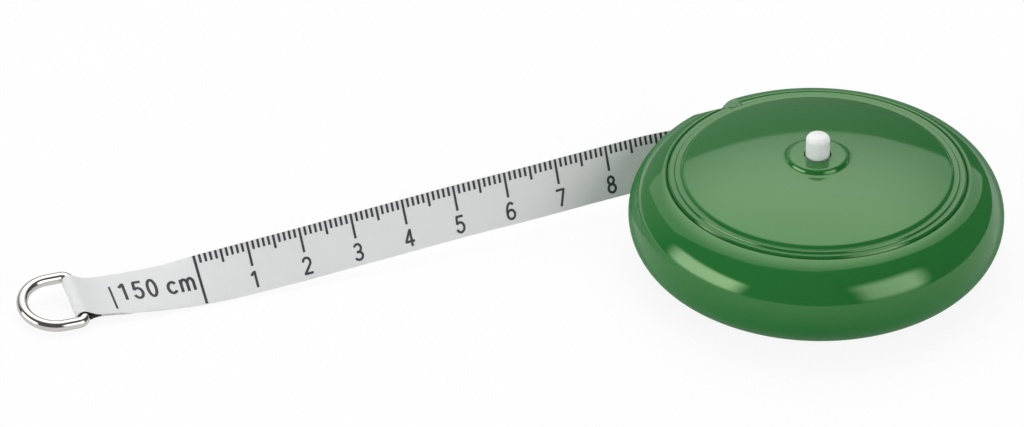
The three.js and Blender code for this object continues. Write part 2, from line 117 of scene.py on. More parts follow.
class Wire:
    # a socket of a shader; sums on wires add Math nodes
    def __init__(self, tree, socket=None):
        self.tree, self.socket = tree, socket

    def node(self, kind, settings=None, inputs=None, output=0):
        # a new node with its settings and inputs; gives one of its outputs
        made = self.tree.nodes.new(kind)
        for key, value in (settings or {}).items():
            setattr(made, key, value)
        for key, value in (inputs or {}).items():
            self.plug(made.inputs[key], value)
        return Wire(self.tree, made.outputs[output])

    def plug(self, socket, value):
        # a wire is linked to the socket, anything else is set on it
        if isinstance(value, Wire):
            self.tree.links.new(value.socket, socket)
        else:
            socket.default_value = value

    def maths(self, operation, first, second=0.0):
        # one Math node on two values
        return self.node("ShaderNodeMath", {"operation": operation}, {0: first, 1: second})

    def __add__(self, other):
        return self.maths("ADD", self, other)

    def __sub__(self, other):
        return self.maths("SUBTRACT", self, other)

    def __rsub__(self, other):
        return self.maths("SUBTRACT", other, self)

    def __mul__(self, other):
        return self.maths("MULTIPLY", self, other)

    __radd__ = __add__
    __rmul__ = __mul__

    def noise(self, scale, detail=2.0):
        # soft noise between 0 and 1 on the given coordinates
        inputs = {"Vector": self, "Scale": scale, "Detail": detail}
        return self.node("ShaderNodeTexNoise", None, inputs, "Fac")

    def mix(self, first, second):
        # colours first and second mixed by this value
        return self.node("ShaderNodeMix", {"data_type": "RGBA"}, {0: self, 6: first, 7: second}, 2)

    def bump(self, distance, strength):
        # a normal from this value as a height
        inputs = {"Height": self, "Distance": distance, "Strength": strength}
        return self.node("ShaderNodeBump", None, inputs)

    def spread(self, low, high, start, end, kind="SMOOTHSTEP"):
        # start at low and below, end at high and above, and a soft or straight way between
        inputs = {"Value": self, "From Min": low, "From Max": high, "To Min": start, "To Max": end}
        return self.node("ShaderNodeMapRange", {"interpolation_type": kind}, inputs)

    def part(self, axis):
        # one of a vector's three numbers
        return self.node("ShaderNodeSeparateXYZ", None, {"Vector": self}, axis)

    def place(self):
        # the object's own coordinates, in metres
        return self.node("ShaderNodeTexCoord", output="Object")

    def lay(self):
        # the mesh's own UV
        return self.node("ShaderNodeUVMap", {"uv_map": "lay"})

    def glow(self, strength):
        # plain white light
        return self.node("ShaderNodeEmission", None, {"Color": rgb(1, 1, 1), "Strength": strength})

    def show(self):
        # this shader goes to the material's surface
        self.tree.links.new(self.socket, self.tree.nodes["Material Output"].inputs["Surface"])


def newMaterial(name, bare=False):
    # a material and a wire to add to it; a bare one has no Principled shader
    material = bpy.data.materials.new(name)
    material.use_nodes = True
    nodes = material.node_tree.nodes
    if bare:
        nodes.remove(nodes["Principled BSDF"])
    return material, Wire(material.node_tree)


def finish(name, build):
    # a material whose Principled shader gets what build returns, socket by socket
    # where build also returns a second set and a share, two shaders are mixed by that share
    material, wire = newMaterial(name)
    shader = wire.tree.nodes["Principled BSDF"]
    first, *more = build(wire)
    for key, value in first.items():
        wire.plug(shader.inputs[key], value)
    if more:
        second, share = wire.node("ShaderNodeBsdfPrincipled", None, more[0]), more[1]
        both = {0: share, 1: Wire(wire.tree, shader.outputs[0]), 2: second}
        wire.node("ShaderNodeMixShader", None, both).show()
    return material


def rgb(red, green, blue):
    # an opaque colour
    return (red, green, blue, 1.0)


# camera, from a fit of the case's round outline in the photograph
cameraSet = dict(
    lens=287.26, sensor=36.0, azimuth=-19.0, elevation=34.0, distance=1500.0, aim=(0, 0, 9),
    right=55.84, rise=0.149,
)


def placeCamera():
    # back from the aim along the view, then aside; returns the level ways to the right and straight ahead
    azimuth, elevation = math.radians(cameraSet["azimuth"]), math.radians(cameraSet["elevation"])
    right = np.array([math.cos(azimuth), math.sin(azimuth), 0])
    level = np.array([-math.sin(azimuth), math.cos(azimuth), 0])
    ahead = level * math.cos(elevation) - np.array([0, 0, math.sin(elevation)])
    rise = np.cross(right, ahead)
    place = np.array(cameraSet["aim"]) - ahead * cameraSet["distance"]
    place = place - right * cameraSet["right"] - rise * cameraSet["rise"]
    data = bpy.data.cameras.new("camera")
    data.lens, data.sensor_width = cameraSet["lens"], cameraSet["sensor"]
    data.sensor_fit = "HORIZONTAL"
    camera = bpy.data.objects.new("camera", data)
    bpy.context.scene.collection.objects.link(camera)
    camera.location = place * mm
    camera.rotation_euler = (math.pi / 2 - elevation, 0, azimuth)
    bpy.context.scene.camera = camera
    return right, level


sideways, backwards = placeCamera()
print("camera placed")


# finishes; the green's heights are in metres, and its flat angles are 0 face on and 1 edge on
greenSet = dict(
    worn=0.005, whole=0.014, wornShare=0.06, caseFlat=(0.62, 0.80), lidFlat=(0.68, 0.80), flatShare=0.03,
)


def glossGreen(wire, flat=greenSet["caseFlat"]):
    # polished above the case's widest line, duller towards the base, which slides on tables,
    # and at very flat angles
    place = wire.place()
    polish = place.part("Z").spread(greenSet["worn"], greenSet["whole"], greenSet["wornShare"], 1.0)
    facing = wire.node("ShaderNodeLayerWeight", None, {"Blend": 0.5}, "Facing")
    held = facing.spread(*flat, 1.0, greenSet["flatShare"])
    colour = place.noise(45.0, 3.0).mix(rgb(0.0140, 0.140, 0.0270), rgb(0.0170, 0.158, 0.0320))
    skin = place.noise(700.0, 1.0).bump(0.00001, 0.25)
    grain = place.noise(900.0, 3.0)
    both = {"Base Color": colour, "Normal": skin}
    dull = {**both, "Roughness": 0.42 + grain * 0.1, "Specular IOR Level": 0.06}
    gloss = {**both, "Roughness": 0.055 + grain * 0.03, "Specular IOR Level": 0.8}
    gloss["Specular Tint"] = rgb(0.73, 1.0, 0.57)
    return dull, gloss, polish * held


def lidGreen(wire):
    # the same plastic, glossy to flatter angles
    return glossGreen(wire, greenSet["lidFlat"])


weaveSet = dict(length=1.0, pitch=0.42, width=20.0, loop=(0.0, 0.0))


def cloth(wire):
    # plain weave on the tape's own lay: crossed waves along and across, each thread a rounded ridge
    lay = wire.lay()
    turn = 2 * math.pi / weaveSet["pitch"]
    warp = wire.maths("SINE", lay.part("X") * (turn * weaveSet["length"]))
    weft = wire.maths("SINE", lay.part("Y") * (turn * weaveSet["width"]))
    threads = warp * weft * 0.5 + 0.5
    place = wire.place()
    soil = place.noise(60.0, 3.0)
    fleck = place.noise(2200.0, 2.0)
    shade = threads * 0.35 + soil * 0.35 + fleck * 0.3
    return [{
        "Base Color": shade.mix(rgb(0.745, 0.757, 0.762), rgb(0.855, 0.865, 0.868)),
        "Roughness": 0.72 - threads * 0.1,
        "Sheen Weight": 0.08,
        "Normal": threads.bump(0.00004, 0.5),
    }]


def hemCloth(wire):
    # the same cloth with painted shade: dark on the inside of the hem's loop, where the loop's own shadow
    # falls
    made = cloth(wire)[0]
    along, around = (wire.lay().part(axis) for axis in "XY")
    start, end = weaveSet["loop"]
    loopShade = wire.maths("GREATER_THAN", along, start) * wire.maths("LESS_THAN", along, end)
    loopShade = loopShade * wire.maths("GREATER_THAN", around, 0.5)
    # painted shade: the back faces inside the hem's loop turn near black
    made["Base Color"] = loopShade.mix(made["Base Color"], rgb(0.10, 0.105, 0.095))
    return [made]


# plain finishes: clouds between two colours, an uneven roughness, a fine bump on some, and fixed values
plainSet = {
    "button_satin_white": dict(
        clouds=(300.0, 2.0), dark=(0.85, 0.88, 0.86), light=(0.91, 0.93, 0.92),
        rough=(0.32, 0.1), grain=(1500.0, 2.0), skin=(2500.0, 1.0), bump=(0.00002, 0.3)),
    "ring_nickel": dict(
        clouds=(400.0, 2.0), dark=(0.52, 0.505, 0.475), light=(0.62, 0.605, 0.575),
        rough=(0.05, 0.05), grain=(1800.0, 3.0), skin=(900.0, 2.0), bump=(0.00001, 0.3),
        fixed={"Metallic": 1.0, "Specular Tint": rgb(0.75, 0.74, 0.72)}),
    "tape_print_ink": dict(
        clouds=(1300.0, 3.0), dark=(0.024, 0.024, 0.026), light=(0.062, 0.062, 0.066),
        rough=(0.55, 0.15), grain=(900.0, 2.0)),
    "reel_ivory": dict(
        clouds=(80.0, 2.0), dark=(0.60, 0.59, 0.54), light=(0.70, 0.69, 0.64),
        rough=(0.45, 0.15), grain=(600.0, 2.0)),
    "oiled_steel": dict(
        clouds=(150.0, 3.0), dark=(0.28, 0.29, 0.31), light=(0.42, 0.43, 0.45),
        rough=(0.26, 0.16), grain=(700.0, 3.0), fixed={"Metallic": 1.0}),
    "brake_rubber": dict(
        clouds=(500.0, 3.0), dark=(0.022, 0.022, 0.024), light=(0.042, 0.042, 0.044),
        rough=(0.8, 0.15), grain=(1200.0, 2.0)),
}


def plainFinish(name):
    # one noise mixes the colours, a second adds to the roughness, and a third is the bump's height
    look = plainSet[name]

    def build(wire):
        # the inputs of the shader, each on the object's own coordinates
        place = wire.place()
        made = {
            "Base Color": place.noise(*look["clouds"]).mix(rgb(*look["dark"]), rgb(*look["light"])),
            "Roughness": look["rough"][0] + place.noise(*look["grain"]) * look["rough"][1],
            **look.get("fixed", {}),
        }
        if "skin" in look:
            made["Normal"] = place.noise(*look["skin"]).bump(*look["bump"])
        return [made]

    return finish(name, build)


greenFinish = finish("case_gloss_green", glossGreen)
lidFinish = finish("lid_gloss_green", lidGreen)
whiteFinish, nickelFinish, inkFinish, reelFinish, steelFinish, rubberFinish = map(plainFinish, plainSet)
print("finishes made")


def dress(piece, material, body=None, nodes=()):
    # gives a piece its material, slot and body, and names the solids that it stands in for
    piece.data.materials.append(material)
    if body:
        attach(piece, body)
    if nodes:
        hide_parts(*nodes)


# the tape's route: stations of (out along -X, side Y, height Z, lean from upright in degrees)
routeSet = dict(
    stations=[
        (0.0, 24.935, 9.0, 0.0), (9.043, 25.285, 9.0, 11.0), (19.043, 26.035, 9.0, 30.0),
        (35.043, 25.585, 8.358, 31.5), (50.043, 25.135, 7.431, 34.0), (65.043, 24.635, 6.603, 38.0),
        (80.043, 24.185, 5.517, 41.5), (95.043, 23.885, 4.424, 45.5), (108.043, 24.135, 3.246, 53.0),
        (117.893, 24.935, 2.411, 69.0), (124.393, 25.505, 2.345, 75.5)],
    bar=(-133.693, 26.805, 2.378), barLean=80.0, skew=0.14,
)


def cubic(t, first, firstSlope, last, lastSlope):
    # the cubic from first at t = 0 to last at t = 1, with the given slopes at its ends
    rise, early, late = 3 * t**2 - 2 * t**3, t**3 - 2 * t**2 + t, t**3 - t**2
    return (1 - rise) * first + early * firstSlope + rise * last + late * lastSlope


def routeAt(out):
    # cubic through the stations: the slope at each is the weighted mean of the slopes on its two sides
    stations = np.array(routeSet["stations"])
    knots, values = stations[:, 0], stations[:, 1:]
    slopes = np.gradient(values, knots, axis=0)
    cell = np.clip(np.searchsorted(knots, out) - 1, 0, len(knots) - 2)
    span = (knots[cell + 1] - knots[cell])[:, None]
    t = (out - knots[cell])[:, None] / span
    return cubic(t, values[cell], span * slopes[cell], values[cell + 1], span * slopes[cell + 1])


def leanVectors(leanDeg):
    # across the tape, and out of its printed face, for a tape that runs along -X
    lean = np.radians(leanDeg)
    zero = np.zeros_like(lean)
    across = joined(zero, np.sin(lean), np.cos(lean))
    face = joined(zero, -np.cos(lean), np.sin(lean))
    return across, face


# case body
caseSet = dict(
    ringCircle=25.5, tube=9.0, middle=9.0, cavity=7.4, opening=27.46, seat=15.28, ledge=25.26,
    ledgeUnder=13.88, floor=1.6, lip=0.6, baseRings=(0, 9, 18, 23), floorRings=(18, 9, 0), steps=240,
    edgeRound=0.16, edgeAngle=38, edgeRows=2, pinch=0.004,
    notchDepth=1.5, notchFrom=100.6, notchTo=116.5, notchStep=2.0, notchTilt=55.0, notchSteepest=0.2,
    notchLines=(-2.1, 2.2, 0.3), notchClear=2.4,
)
# the slot runs along the tape between two places on its route; rows and lines are in degrees
mouthSet = dict(
    halfWide=0.875, halfHigh=5.6, rows=13, near=16.0, far=26.0, before=13.0, longest=40.0, halvings=40,
    reach=22.0, fade=38.0, edge=1.85, lines=(0, 0.5, 1.2, 2.2), clear=3.0,
    outerBelow=(-90, -33, 3.0), outerMouth=(-32, 30), outerAbove=33, outerAboveRows=16,
    innerMouth=(37, -40), innerBelow=(-46, -91, -4.0), lipRows=9,
)


def mouthOnTorus(tube, p, q):
    # where the slot's line at (p across, q through) leaves a round wall, by halving along the tape's way
    ends = np.array([mouthSet["near"], mouthSet["far"]])
    near, far = routeAt(ends)
    side, height, lean = (near + far) / 2
    heading = unit(np.array([ends[0] - ends[1], *(far - near)[:2]]))
    across, face = leanVectors(lean)
    start = np.array([-ends.mean(), side, height]) - heading * mouthSet["before"]
    start = start + p[..., None] * across + q[..., None] * face
    low, high = np.zeros(p.shape), np.full(p.shape, mouthSet["longest"])
    for _ in range(mouthSet["halvings"]):
        half = (low + high) / 2
        at = start + heading * half[..., None]
        fromRing = np.hypot(at[..., 0], at[..., 1]) - caseSet["ringCircle"]
        within = np.hypot(fromRing, at[..., 2] - caseSet["middle"]) < tube
        low, high = np.where(within, half, low), np.where(within, high, half)
    azimuth = np.degrees(np.arctan2(at[..., 1], at[..., 0]))
    rise = np.degrees(np.arcsin((at[..., 2] - caseSet["middle"]) / tube))
    return azimuth, rise


def wallRows(tube, azimuths, rises, mouthRows, leftLine):
    # a round wall as (azimuth, rise) angles, its lines drawn aside so that two of them follow
    # the slot's edges
    p = np.linspace(-mouthSet["halfHigh"], mouthSet["halfHigh"], mouthSet["rows"])
    slot = rises[mouthRows]
    p = p if slot[0] < slot[-1] else p[::-1]
    known = np.argsort(slot)
    turn, lift = np.zeros((2, 2, len(rises)))
    for side, through in enumerate((mouthSet["halfWide"], -mouthSet["halfWide"])):
        slotAzimuth, slotRise = mouthOnTorus(tube, p, np.full(p.shape, through))
        turnAt, liftAt = slotAzimuth - azimuths[leftLine + side], slotRise - slot
        turn[side] = np.interp(rises, slot[known], turnAt[known])
        lift[side] = np.interp(rises, slot[known], liftAt[known])
    beyond = np.maximum(np.abs(rises) - np.abs(slot).max(), 0)
    fade = 1 - smoothStep(beyond / mouthSet["fade"])
    left, right = azimuths[leftLine], azimuths[leftLine + 1]
    gap = np.where(azimuths <= left, left - azimuths, azimuths - right)
    near = (1 - smoothStep(gap / mouthSet["reach"]))[:, None]
    side = (azimuths > left).astype(int)
    spread = near * fade[None, :]
    return azimuths[:, None] + spread * turn[side], rises[None, :] + spread * lift[side]


def notchDepth(azimuth):
    # depth of the flat beside the mouth: a quick step down, then a straight run out to nothing
    into = smoothStep((azimuth - caseSet["notchFrom"] + caseSet["notchStep"] / 2) / caseSet["notchStep"])
    run = np.clip((caseSet["notchTo"] - azimuth) / (caseSet["notchTo"] - caseSet["notchFrom"]), 0, 1)
    return caseSet["notchDepth"] * into * run


def underNotch(points):
    # heights kept below the notch's flat, a plane across the tube at notchTilt
    azimuth = np.degrees(np.arctan2(points[..., 1], points[..., 0]))
    tilt = math.radians(caseSet["notchTilt"])
    reach = np.hypot(points[..., 0], points[..., 1]) - caseSet["ringCircle"]
    flat = (caseSet["tube"] - notchDepth(azimuth) - reach * math.cos(tilt)) / math.sin(tilt)
    points[..., 2] = np.minimum(points[..., 2], caseSet["middle"] + flat)
    return points


def torusPoints(azimuth, rise, tube, notched):
    # ring circle plus tube radius at each angle; the notch cuts the tube by a flat at notchTilt
    radius = np.full(azimuth.shape, tube)
    if notched:
        off = np.radians(rise - caseSet["notchTilt"])
        flat = (tube - notchDepth(azimuth)) / np.maximum(np.cos(off), caseSet["notchSteepest"])
        radius = np.minimum(radius, flat)
    turn, lift = np.radians(azimuth), np.radians(rise)
    reach = caseSet["ringCircle"] + radius * np.cos(lift)
    return aroundAxis(reach, turn, caseSet["middle"] + radius * np.sin(lift))


def caseLines():
    # the azimuths of the shell's lines: even all round, close together at the notch's step
    # and at the slot's edges
    centre = mouthOnTorus(caseSet["tube"], np.zeros(1), np.zeros(1))[0][0]
    aside = centre + mouthSet["edge"] + np.array(mouthSet["lines"])
    lines = np.concatenate([2 * centre - aside, aside])
    notch, (first, last, apart) = caseSet["notchFrom"], caseSet["notchLines"]
    step = np.arange(notch + first, notch + last, apart)
    regular = np.arange(0, 360, 360 / caseSet["steps"])
    offSlot = np.abs(regular - centre) > mouthSet["edge"] + mouthSet["clear"]
    offNotch = np.abs(regular - notch) > caseSet["notchClear"]
    azimuths = np.sort(np.concatenate([regular[offSlot & offNotch], step, lines]))
    return azimuths, int(np.searchsorted(azimuths, centre) - 1)


def caseBody():
    # one closed section carried round: base, round outer wall, lip, round inner wall and floor;
    # a cell of both walls is left out at the slot, and four strips join the walls there
    azimuths, leftLine = caseLines()
    tube, cavity, middle, lipRound = (caseSet[key] for key in ("tube", "cavity", "middle", "lip"))
    lipMiddle = caseSet["opening"] + lipRound
    lipRise = math.acos((lipMiddle - caseSet["ringCircle"]) / (tube - lipRound))
    lipHeight = middle + (tube - lipRound) * math.sin(lipRise)
    lipRise = math.degrees(lipRise)
    below = np.arange(*mouthSet["outerBelow"])
    mouth = np.linspace(*mouthSet["outerMouth"], mouthSet["rows"])
    above = np.linspace(mouthSet["outerAbove"], lipRise, mouthSet["outerAboveRows"])
    outer = np.concatenate([below, mouth, above])
    outerMouth = len(below) + np.arange(len(mouth))
    ledgeRise = np.degrees(np.arcsin((caseSet["ledgeUnder"] - middle) / cavity))
    mouth = np.linspace(*mouthSet["innerMouth"], mouthSet["rows"])
    inner = np.concatenate([[ledgeRise], mouth, np.arange(*mouthSet["innerBelow"])])
    innerMouth = 1 + np.arange(len(mouth))
    outerWall = torusPoints(*wallRows(tube, azimuths, outer, outerMouth, leftLine), tube, True)
    innerWall = torusPoints(*wallRows(cavity, azimuths, inner, innerMouth, leftLine), cavity, False)

    def rings(pairs):
        # plain circles of the given (radius, height)
        pairs = np.array(pairs, float)
        return aroundAxis(pairs[:, 0], np.radians(azimuths)[:, None], pairs[:, 1])

    base = rings([(radius, 0) for radius in caseSet["baseRings"]])
    lip = underNotch(rings(np.concatenate([
        arcPoints(lipMiddle, lipHeight, lipRound, lipRise, 180, mouthSet["lipRows"])[1:],
        [(caseSet["opening"], caseSet["seat"]), (caseSet["ledge"], caseSet["seat"]),
         (caseSet["ledge"], caseSet["ledgeUnder"])]])))
    floor = rings([(radius, caseSet["floor"]) for radius in caseSet["floorRings"]])
    points = np.concatenate([base, outerWall, lip, innerWall, floor], 1)
    columns = points.shape[1]
    faces = gridFaces(len(azimuths), columns, wrapRows=True)
    outerAt = base.shape[1] + outerMouth
    innerAt = base.shape[1] + len(outer) + lip.shape[1] + innerMouth[::-1]
    strip, cell = np.divmod(np.arange(len(faces)), columns - 1)
    inMouth = (strip == leftLine) & (np.isin(cell, outerAt[:-1]) | np.isin(cell, innerAt[1:]))
    number = np.arange(len(azimuths) * columns).reshape(len(azimuths), columns)
    walls = []
    for line in number[leftLine : leftLine + 2]:
        out, into = line[outerAt], line[innerAt]
        walls.append(joined(out[:-1], out[1:], into[1:], into[:-1]))
    for end in (0, -1):
        out, into = (number[leftLine : leftLine + 2, at[end]] for at in (outerAt, innerAt))
        walls.append([[*out, *into[::-1]]])
    return meshPiece("case_shell", points, np.concatenate([faces[~inMouth], *walls]))


shell = caseBody()
bevel = shell.modifiers.new("edges", "BEVEL")
bevel.limit_method, bevel.angle_limit = "ANGLE", math.radians(caseSet["edgeAngle"])
bevel.width, bevel.segments = caseSet["edgeRound"] * mm, caseSet["edgeRows"]
clean = shell.modifiers.new("clean", "WELD")  # joins what the bevel pinches at the notch
clean.merge_threshold = caseSet["pinch"] * mm
dress(shell, greenFinish, "case", ["case_body"])
print("case shell:", len(shell.data.polygons), "faces")


# lid with its two ledges and boss; underside holds the rim, the seat and the brake ring's seat
lidSet = dict(
    crown=21.2, fall=2.25, fallLate=0.5, edge=24.3, roll=1.1, rollTilt=50.0,
    valleys=((25.1, 17.93), (26.2, 17.72)), crests=((25.85, 18.02), (26.95, 17.81)), crestRound=0.25,
    ledgeTilt=-7.0, crestTilt=60.0, hole=2.4, holeRound=0.2, stop=18.72,
    bossTop=22.0, bossFrom=0.5, bossFall=0.07, bossReach=4.0, bossRound=0.85, shoulder=4.95,
    shoulderTilt=5.0, bossTilt=62.0, slope=0.24, foot=0.4, footEnd=267.0, domeGap=0.08,
    underside=((27.44, 17.38), (27.44, 15.58), (25.3, 15.58), (23.3, 16.9), (16.0, 18.2), (16.0, 16.62),
               (12.0, 16.62), (12.0, 18.7), (5.5, 19.3), (5.5, 18.72)),
    holeRows=5, bossRows=8, shoulderRows=11, footRows=8, domeRows=40, rollRows=9, crestRows=7,
)


def lidHeight(radius):
    # a shallow bowl: square of the radius, with a fourth power that turns it down near the edge
    share = (radius / lidSet["edge"]) ** 2
    return lidSet["crown"] - lidSet["fall"] * share - lidSet["fallLate"] * share**2


def rollPoints(start, radius, fromTilt, toTilt, count):
    # an arc that starts at a point and rolls over from one tilt to another, counted down from level
    lean = math.radians(fromTilt)
    middle = start[0] - radius * math.sin(lean), start[1] - radius * math.cos(lean)
    return arcPoints(*middle, radius, 90 - fromTilt, 90 - toTilt, count)


def lidPiece():
    # a closed profile carried round: hole, boss, dome, edge roll, two ledges and underside
    top, tilt, foot = lidSet["bossTop"], lidSet["bossTilt"], lidSet["foot"]
    hole, holeRound, edge = lidSet["hole"], lidSet["holeRound"], lidSet["edge"]
    reach = np.linspace(hole + lidSet["bossFrom"], lidSet["shoulder"], lidSet["bossRows"])
    fall = lidSet["bossFall"] * smoothStep((reach - reach[0]) / lidSet["bossReach"])
    mound = joined(reach, top - fall)
    tilts = lidSet["shoulderTilt"], tilt
    shoulder = rollPoints(mound[-1], lidSet["bossRound"], *tilts, lidSet["shoulderRows"])
    cos, sin = math.cos(math.radians(tilt)), math.sin(math.radians(tilt))
    slope = shoulder[-1] + np.array([cos, -sin]) * lidSet["slope"]
    middle = slope + foot * np.array([sin, cos])
    footing = arcPoints(*middle, foot, 270 - tilt, lidSet["footEnd"], lidSet["footRows"])
    dome = np.linspace(footing[-1, 0] + lidSet["domeGap"], edge, lidSet["domeRows"])[:-1]
    edgeTilt = math.degrees(math.atan((2 * lidSet["fall"] + 4 * lidSet["fallLate"]) / edge))
    start, tilts = (edge, lidHeight(edge)), (edgeTilt, lidSet["rollTilt"])
    ledges = [rollPoints(start, lidSet["roll"], *tilts, lidSet["rollRows"])]
    tilts = lidSet["ledgeTilt"], lidSet["crestTilt"]
    for valley, crest in zip(lidSet["valleys"], lidSet["crests"]):
        ledges += [[valley], rollPoints(crest, lidSet["crestRound"], *tilts, lidSet["crestRows"])]
    profile = np.concatenate([
        [(hole, lidSet["stop"])],
        arcPoints(hole + holeRound, top - holeRound, holeRound, 180, 90, lidSet["holeRows"]),
        mound, shoulder[1:], footing,
        joined(dome, lidHeight(dome)),
        *ledges,
        lidSet["underside"],
    ])
    turn = np.radians(caseLines()[0])[:, None]
    points = underNotch(aroundAxis(profile[:, 0], turn, profile[:, 1]))
    return meshPiece("case_lid_dome", points, gridFaces(len(turn), len(profile), True, True))


lid = lidPiece()
dress(lid, lidFinish, "case", ["case_lid"])
print("lid:", len(lid.data.polygons), "faces")


# push button
buttonSet = dict(
    radius=2.2, top=26.2, shoulder=1.1, crown=0.12, flange=5.2, flangeLow=17.22, flangeHigh=18.42,
    sideFrom=0.4, sideTo=0.15, sideRows=8, shoulderRows=12, crownRows=7, steps=72,
)


def buttonPiece():
    # flange, straight side, rounded shoulder, and a crown that falls with the square of the radius
    radius, shoulder, top = buttonSet["radius"], buttonSet["shoulder"], buttonSet["top"]
    flange, low, high = buttonSet["flange"], buttonSet["flangeLow"], buttonSet["flangeHigh"]
    level = top - buttonSet["crown"]
    cap = np.linspace(radius - shoulder, 0, buttonSet["crownRows"])
    crown = buttonSet["crown"] * (1 - (cap / cap[0]) ** 2)
    sideFrom, sideTo = high + buttonSet["sideFrom"], top - shoulder - buttonSet["sideTo"]
    side = np.linspace(sideFrom, sideTo, buttonSet["sideRows"])
    profile = np.concatenate([
        [(0, low), (flange, low), (flange, high), (radius, high)],
        joined(np.full(len(side), radius), side),
        arcPoints(radius - shoulder, level - shoulder, shoulder, 0, 90, buttonSet["shoulderRows"]),
        joined(cap[1:], level + crown[1:]),
    ])
    turn = np.linspace(0, 2 * np.pi, buttonSet["steps"], endpoint=False)[:, None]
    points = aroundAxis(profile[:, 0], turn, profile[:, 1])
    return meshPiece("button_pin", points, gridFaces(len(turn), len(profile), wrapRows=True))


button = buttonPiece()
dress(button, whiteFinish, "button", ["push_button"])
print("button:", len(button.data.polygons), "faces")


# D-ring
ringSet = dict(
    wire=1.05, halfWide=6.1, reach=10.1, corner=1.4, sections=32, barRows=12, cornerRows=10, sideRows=4,
    bendRows=60,
)


def ringPiece():
    # a round wire carried along a flat closed path: bar, corner, side, half circle, side, corner
    half, corner = ringSet["halfWide"], ringSet["corner"]
    straight = ringSet["reach"] - half
    flat = half - corner
    bar = np.linspace(-flat, flat, ringSet["barRows"] + 2)[1:-1]
    forth = np.linspace(corner, straight, ringSet["sideRows"] + 2)[1:-1]
    path = np.concatenate([
        joined(0 * bar, bar),
        arcPoints(corner, flat, corner, 180, 90, ringSet["cornerRows"]),
        joined(forth, np.full(len(forth), half)),
        arcPoints(straight, 0, half, 90, -90, ringSet["bendRows"]),
        joined(forth[::-1], np.full(len(forth), -half)),
        arcPoints(corner, -flat, corner, -90, -180, ringSet["cornerRows"]),
    ])
    across, face = leanVectors(routeSet["barLean"])
    out = np.array([-1.0, 0, 0])
    heading = unit(np.roll(path, -1, 0) - np.roll(path, 1, 0))
    beside = joined(-heading[:, 1], heading[:, 0])
    turn = np.linspace(0, 2 * np.pi, ringSet["sections"], endpoint=False)[None, :, None]
    centre = np.array(routeSet["bar"]) + path[:, :1] * out + path[:, 1:] * across
    side = beside[:, :1] * out + beside[:, 1:] * across
    points = centre[:, None] + ringSet["wire"] * (np.cos(turn) * side[:, None] + np.sin(turn) * face)
    return meshPiece("ring_wire", points, gridFaces(len(path), ringSet["sections"], True, True))


ring = ringPiece()
dress(ring, nickelFinish, "ring", ["pull_ring"])
print("ring:", len(ring.data.polygons), "faces")


# tape: one ribbon from inside the case to the hem round the ring's bar
tapeSet = dict(
    width=9.8, thickness=0.35, start=2.0, samples=210, across=14, edgeThin=0.45, sharpDeg=60,
    loop=1.29, hemFrom=9.3, hemPinch=3.1, hemBack=8.8, hemEase=4.5, layerGap=0.02, touch=62.0, leadIn=0.9,
    leadOut=2.6, upperRows=16, leadRows=16, bendRows=46, lowerRows=14, loopRows=(14, 89),
    cup=0.16, cupMean=0.6, cupSwing=0.4, cupWave=17.0, cupPhase=0.8, cupFrom=20.0, cupRise=15.0,
    cupFall=8.0, cupEnd=6.0, wander=0.05, wanderWaves=(5.3, 13.1), zeroOut=110.96, markTo=92.0,
    inkLift=0.025, blendFrom=-10.0, blendTo=-84.0,
)


def hemPath():
    # in the hem's own plane (u back from the bar, h above its middle): the upper layer, a cubic up to
    # the loop, the loop round the bar, the same cubic mirrored, and the lower layer
    loop, pinch, start, touch = (tapeSet[key] for key in ("loop", "hemPinch", "hemFrom", "touch"))
    flat = tapeSet["thickness"] / 2 + tapeSet["layerGap"]
    u = np.linspace(start, pinch, tapeSet["upperRows"])
    upper = joined(u, flat * smoothStep((start - u) / tapeSet["hemEase"]))
    cos, sin = math.cos(math.radians(touch)), math.sin(math.radians(touch))
    first, last = np.array([pinch, flat]), np.array([loop * cos, loop * sin])
    pull = np.array([last[0] - pinch, 0]) * tapeSet["leadIn"]
    leave = np.array([-sin, cos]) * tapeSet["leadOut"]
    lead = cubic(np.linspace(0, 1, tapeSet["leadRows"])[1:, None], first, pull, last, leave)
    bend = arcPoints(0, 0, loop, touch, 360 - touch, tapeSet["bendRows"])[1:-1]
    under = np.concatenate([lead[::-1], [first]]) * [1, -1]
    u = np.linspace(pinch, tapeSet["hemBack"], tapeSet["lowerRows"])[1:]
    lower = joined(u, np.full(len(u), -flat))
    return np.concatenate([upper, lead, bend, under, lower])


def tapeLine():
    # centre, across and face vectors, and the length along the tape, from the case to the hem's end
    out = np.linspace(tapeSet["start"], routeSet["stations"][-1][0], tapeSet["samples"])
    route = routeAt(out)
    centre = joined(-out, route[:, 0], route[:, 1])
    across, face = leanVectors(route[:, 2])
    path = hemPath()[1:]
    ease = smoothStep((tapeSet["hemFrom"] - path[:, 0]) / tapeSet["hemEase"])
    lastLean, barLean = routeSet["stations"][-1][3], routeSet["barLean"]
    hemAcross, hemUp = leanVectors(lastLean + (barLean - lastLean) * ease)
    level, bar = np.array([1.0, 0, 0]), np.array(routeSet["bar"])
    back = level - routeSet["skew"] * leanVectors(barLean)[0]
    hemCentre = bar + path[:, :1] * back + path[:, 1:] * hemUp
    hemCentre = hemCentre + (1 - ease[:, None]) * (centre[-1] - bar - tapeSet["hemFrom"] * back)
    run = unit(np.gradient(path, axis=0))
    hemFace = -run[:, :1] * hemUp + run[:, 1:] * level
    centre = np.concatenate([centre, hemCentre])
    across = np.concatenate([across, hemAcross])
    face = np.concatenate([face, hemFace])
    length = np.concatenate([[0], np.cumsum(np.linalg.norm(np.diff(centre, axis=0), axis=1))])
    return centre, across, face, length


line = tapeLine()


def lengthAt(out):
    # the length along the tape at a distance out along -X, before the hem
    samples = tapeSet["samples"]
    return np.interp(out, -line[0][:samples, 0], line[3][:samples])


